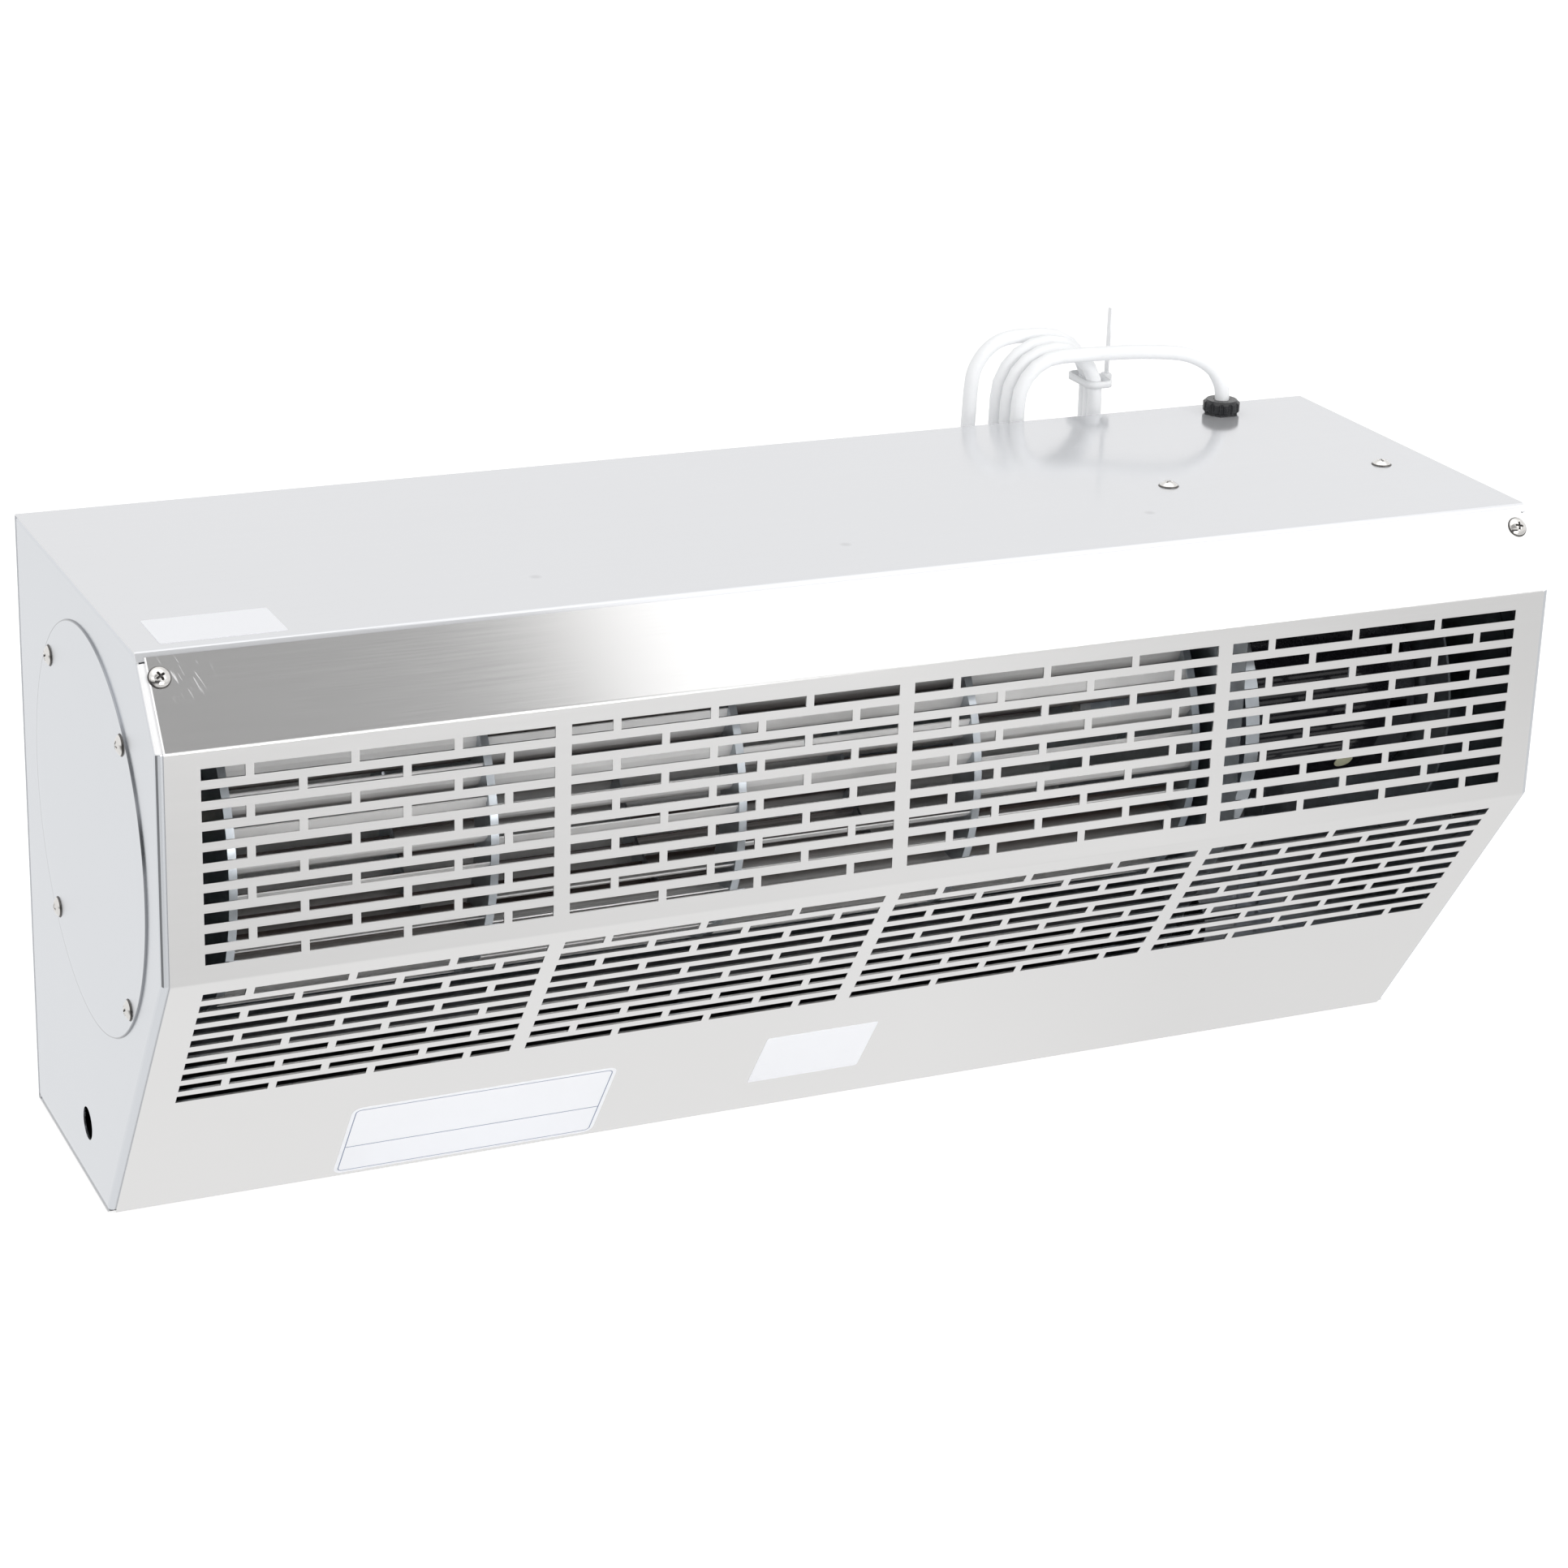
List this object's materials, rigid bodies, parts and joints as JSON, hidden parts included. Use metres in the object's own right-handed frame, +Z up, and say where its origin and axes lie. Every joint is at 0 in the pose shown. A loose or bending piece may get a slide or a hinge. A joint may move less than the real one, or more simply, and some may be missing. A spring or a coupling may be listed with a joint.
{
  "type": "air curtain",
  "caption": "Over-door air curtain: stainless steel casing with a slotted front, cross-flow fan wheel, motor, tilting discharge vanes and a corded gland.",
  "frame": {"origin": "middle of the flat base, centred on the casing, without the cord", "axes": "+X along the casing to the motor end, -Y the slotted front, +Y the wall, +Z up"},
  "size_m": [0.9232, 0.3625, 0.4605],
  "materials": {
    "steel": "brushed stainless steel, fine grain along the casing",
    "steel_side": "brushed stainless steel end panels",
    "zinc": "zinc-plated steel",
    "screw": "polished stainless screws",
    "blade": "mill-finish aluminium",
    "motor_black": "black gloss enamel",
    "core": "laminated iron",
    "plastic_black": "black nylon",
    "plastic_white": "white nylon",
    "rubber": "black rubber",
    "bronze": "sintered bronze",
    "cord_white": "white flexible cord sheath"
  },
  "bodies": {
    "casing": {"casing_wrap": "steel", "end_panel_left": "steel_side", "end_panel_right": "steel_side", "front_cover": "steel", "base_panel": "steel", "end_cover_left": "steel_side", "end_cover_right": "steel_side", "end_cover_screws_left": "screw", "end_cover_screws_right": "screw", "front_cover_screws": "screw", "bracket_screws": "screw", "bulkhead": "zinc", "rear_scroll": "zinc", "tongue_plate": "zinc", "outlet_collar": "zinc", "bearing_strap": "zinc", "bearing_rubber": "rubber", "bearing_sleeve": "bronze", "motor_bracket_left": "zinc", "motor_bracket_right": "zinc", "motor_shell": "motor_black", "motor_core": "core", "motor_cap_left": "motor_black", "motor_cap_right": "motor_black", "motor_bolts": "screw", "capacitor": "plastic_black", "capacitor_strap": "zinc", "terminal_block": "plastic_white", "gland_body": "plastic_black", "gland_locknut": "plastic_black", "gland_seal": "rubber", "gland_nut": "plastic_black", "power_cord": "cord_white", "cord_hank": "cord_white", "cord_tail": "cord_white", "cord_tie": "plastic_white", "plug_body": "cord_white", "plug_blades": "screw"},
    "fan_wheel": {"wheel_disc_left": "zinc", "wheel_disc_right": "zinc", "wheel_ring_1": "zinc", "wheel_ring_2": "zinc", "wheel_ring_3": "zinc", "wheel_blades_1": "blade", "wheel_blades_2": "blade", "wheel_blades_3": "blade", "wheel_blades_4": "blade", "wheel_hub_left": "zinc", "wheel_hub_right": "zinc", "wheel_stub_shaft": "screw", "motor_shaft": "screw", "motor_armature": "core", "hub_set_screw": "screw"},
    "front_vane": {"front_vane": "blade", "front_vane_pins": "screw"},
    "rear_vane": {"rear_vane": "blade", "rear_vane_pins": "screw"}
  },
  "joints": [
    {"name": "wheel_spin", "type": "hinge", "parent": "casing", "child": "fan_wheel", "pos_m": [0, -0.0055, 0.248], "axis": [1, 0, 0], "continuous": true},
    {"name": "front_vane_tilt", "type": "hinge", "parent": "casing", "child": "front_vane", "pos_m": [0, 0.0325, 0.03], "axis": [1, 0, 0], "range_deg": [-20, 20]},
    {"name": "rear_vane_tilt", "type": "hinge", "parent": "casing", "child": "rear_vane", "pos_m": [0, 0.0765, 0.03], "axis": [1, 0, 0], "range_deg": [-20, 20]}
  ]
}
